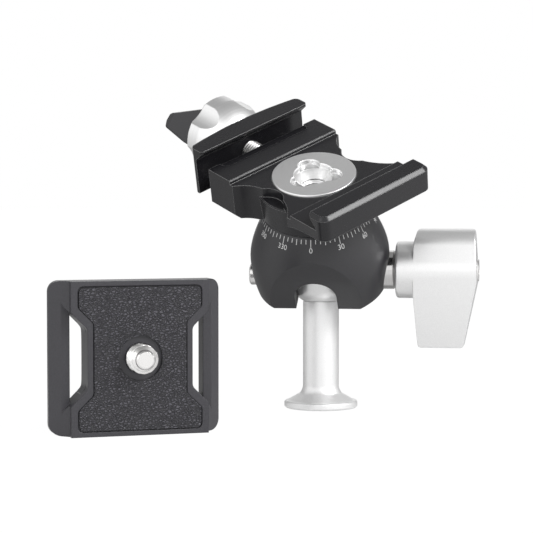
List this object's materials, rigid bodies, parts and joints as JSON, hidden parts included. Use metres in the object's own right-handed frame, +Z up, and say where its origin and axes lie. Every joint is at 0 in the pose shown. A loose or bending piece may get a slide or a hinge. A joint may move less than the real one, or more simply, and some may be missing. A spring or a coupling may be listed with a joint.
{
  "type": "inverted ball head",
  "caption": "Small inverted ball head on a round foot, with lever lock, panning quick-release screw clamp and a dovetail camera plate standing beside it.",
  "frame": {"origin": "centre of the foot's bottom face, where the tripod thread opens", "axes": "+Z up the post; +Y away from the side that the drop notch and the dial's zero face"},
  "size_m": [0.0988, 0.0815, 0.0757],
  "materials": {
    "post_alloy": "satin silver anodised",
    "ball_alloy": "smooth light grey",
    "steel": "bright turned steel",
    "polished_steel": "polished",
    "brass": "turned",
    "black_anodised": "satin black anodised",
    "dark_anodised": "satin dark grey anodised",
    "knob_silver": "satin silver anodised",
    "disc_silver": "fine turned silver",
    "slide_plastic": "natural acetal",
    "pad_rubber": "grained rubber"
  },
  "bodies": {
    "post": {"stem": "post_alloy", "ball_stud": "steel", "ball": "ball_alloy"},
    "lock_pad": {"lock_pad": "slide_plastic"},
    "housing": {"housing": "black_anodised", "ball_cup": "slide_plastic", "cup_spring": "steel", "race_nut": "dark_anodised", "pan_washer": "slide_plastic", "lock_sleeve": "polished_steel", "drag_screw": "steel", "drag_pad": "slide_plastic"},
    "thrust_nut": {"thrust_nut": "brass"},
    "lock_knob": {"lock_screw": "steel", "lock_knob": "knob_silver", "lock_knob_screw": "steel"},
    "clamp": {"pan_base": "black_anodised", "pan_retainer": "steel", "clamp_body": "black_anodised", "clamp_disc": "disc_silver", "jaw_springs": "steel"},
    "moving_jaw": {"moving_jaw": "black_anodised", "guide_pins": "steel"},
    "clamp_knob": {"clamp_screw": "steel", "knob_washer": "steel", "clamp_knob": "knob_silver", "clamp_knob_wing": "black_anodised", "wing_pin": "steel"},
    "plate": {"plate_body": "dark_anodised", "plate_pad": "pad_rubber"},
    "camera_screw": {"camera_screw": "steel"}
  },
  "joints": [
    {"name": "ball_spin", "type": "hinge", "parent": "post", "child": "lock_pad", "pos_m": [0, 0, 0.03349], "axis": [0, 0, 1], "continuous": true},
    {"name": "ball_tilt", "type": "hinge", "parent": "lock_pad", "child": "housing", "pos_m": [0, 0, 0.03349], "axis": [0.9882, -0.153, 0], "range_deg": [-61, 59]},
    {"name": "lock_feed", "type": "slide", "parent": "housing", "child": "thrust_nut", "axis": [0.9882, -0.153, 0], "range_m": [0, 0.0008]},
    {"name": "lock_turn", "type": "hinge", "parent": "housing", "child": "lock_knob", "pos_m": [0, 0, 0.03349], "axis": [0.9882, -0.153, 0], "range_deg": [0, 270]},
    {"name": "pan", "type": "hinge", "parent": "housing", "child": "clamp", "pos_m": [-0.00212, -0.01369, 0.05655], "axis": [-0.0788, -0.509, 0.8572], "continuous": true},
    {"name": "jaw_slide", "type": "slide", "parent": "clamp", "child": "moving_jaw", "axis": [-0.6333, 0.6896, 0.3513], "range_m": [-0.0044, 0.0014], "deforming": ["jaw_springs"]},
    {"name": "clamp_turn", "type": "hinge", "parent": "moving_jaw", "child": "clamp_knob", "pos_m": [-0.01897, 0.00653, 0.06333], "axis": [-0.6333, 0.6896, 0.3513], "range_deg": [-1975, 625]},
    {"name": "plate_lift", "type": "slide", "parent": "post", "child": "plate", "axis": [0, 0, 1], "range_m": [0, 0.06]},
    {"name": "camera_turn", "type": "hinge", "parent": "plate", "child": "camera_screw", "pos_m": [-0.0424, -0.0431, 0.0167], "axis": [0.2924, -0.9563, 0], "continuous": true}
  ],
  "couplings": [
    {"joint": "lock_feed", "follows": "lock_turn", "m_per_rad": 0.00015915},
    {"joint": "jaw_slide", "follows": "clamp_turn", "m_per_rad": 0.00012732}
  ]
}
